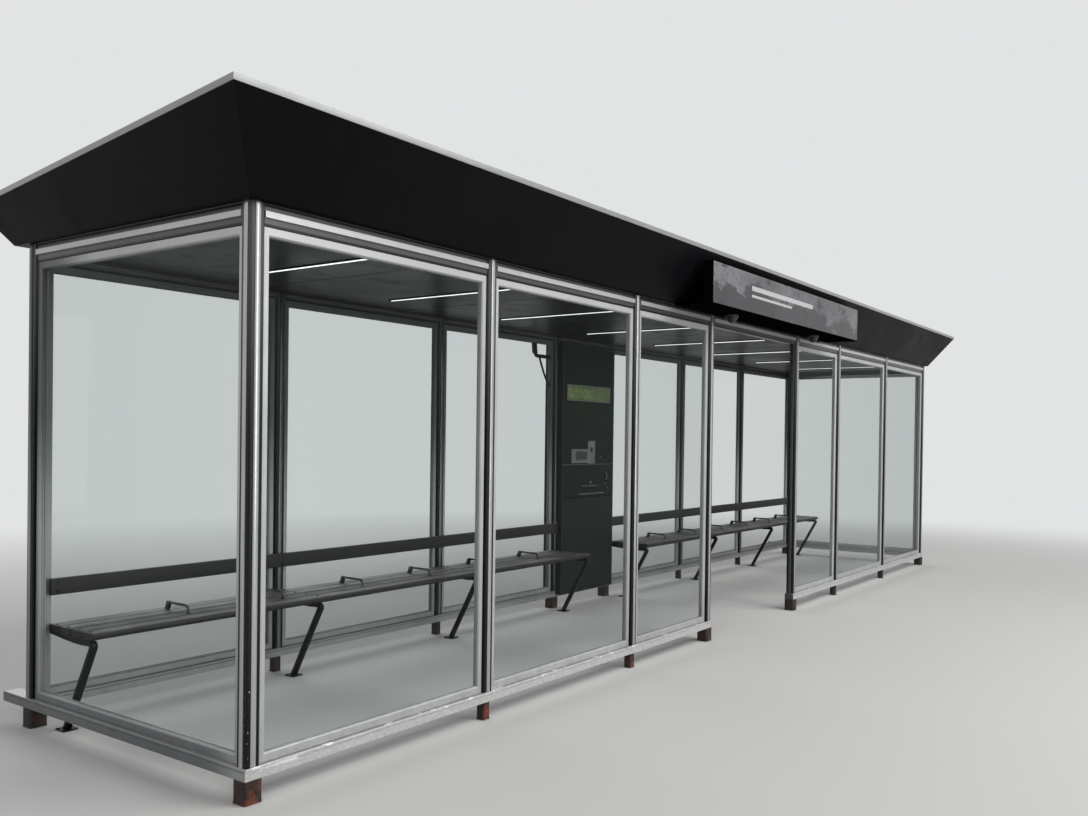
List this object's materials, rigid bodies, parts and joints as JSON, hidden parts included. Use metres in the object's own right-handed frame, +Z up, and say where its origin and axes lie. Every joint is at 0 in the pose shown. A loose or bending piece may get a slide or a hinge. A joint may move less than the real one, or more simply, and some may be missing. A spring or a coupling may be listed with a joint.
{
  "type": "glazed bus shelter",
  "caption": "Long glazed bus shelter: ribbed aluminium posts, flared dark fascia under a sloping roof, sign box over an open doorway, slatted benches and a kiosk inside.",
  "frame": {"origin": "on the ground, at the middle of the shelter's bounding box", "axes": "+X along the shelter, to the right as seen from the doorway side; +Y from the doorway to the back wall; +Z up"},
  "size_m": [10.488, 2.456, 2.9362],
  "materials": {
    "rusty_steel": "rusted",
    "aluminium_rail": "weathered satin",
    "aluminium_post": "weathered satin",
    "black_rubber": "matte",
    "aluminium_head": "weathered satin",
    "aluminium_frame": "satin",
    "clear_glass": "clear",
    "fascia_panel": "satin",
    "roof_trim": "satin",
    "roof_steel": "matte",
    "roof_sheet": "matte",
    "ceiling_panel": "satin",
    "lamp_white": "opal",
    "sign_housing": "satin",
    "sign_print": "printed",
    "camera_shell": "matte",
    "camera_glass": "gloss",
    "bench_wood": "dark stained",
    "bench_steel": "satin",
    "kiosk_case": "satin",
    "kiosk_door": "gloss",
    "kiosk_metal": "satin"
  },
  "bodies": {
    "root": {"feet": "rusty_steel", "base_rail_front": "aluminium_rail", "base_rail_back": "aluminium_rail", "base_rail_ends": "aluminium_rail", "corner_posts": "aluminium_post", "front_posts_left": "aluminium_post", "doorway_posts": "aluminium_post", "front_posts_right": "aluminium_post", "back_posts_left": "aluminium_post", "kiosk_posts": "aluminium_post", "back_posts_right": "aluminium_post", "post_strips": "black_rubber", "head_rail_front": "aluminium_head", "head_rail_back": "aluminium_head", "head_rail_ends": "aluminium_head", "glazing_frames_front_left": "aluminium_frame", "glazing_frames_front_right": "aluminium_frame", "glazing_frames_back_left": "aluminium_frame", "glazing_frames_back_right": "aluminium_frame", "glazing_frames_ends": "aluminium_frame", "glass_front": "clear_glass", "glass_back": "clear_glass", "glass_ends": "clear_glass", "fascia_front": "fascia_panel", "fascia_back": "fascia_panel", "fascia_left": "fascia_panel", "fascia_right": "fascia_panel", "roof_trim": "roof_trim", "roof_beams": "roof_steel", "roof_deck": "roof_sheet", "ceiling": "ceiling_panel", "ceiling_lamps": "lamp_white", "sign_box": "sign_housing", "sign_face": "sign_print", "camera_bases": "camera_shell", "camera_bracket": "camera_shell", "camera_domes": "camera_glass", "bench_seats": "bench_wood", "bench_backrests": "bench_wood", "bench_armrests": "bench_steel", "bench_crossbars": "bench_steel", "bench_legs": "bench_steel", "kiosk_body": "kiosk_case", "kiosk_doors": "kiosk_door", "kiosk_fittings": "kiosk_metal"}
  },
  "joints": []
}
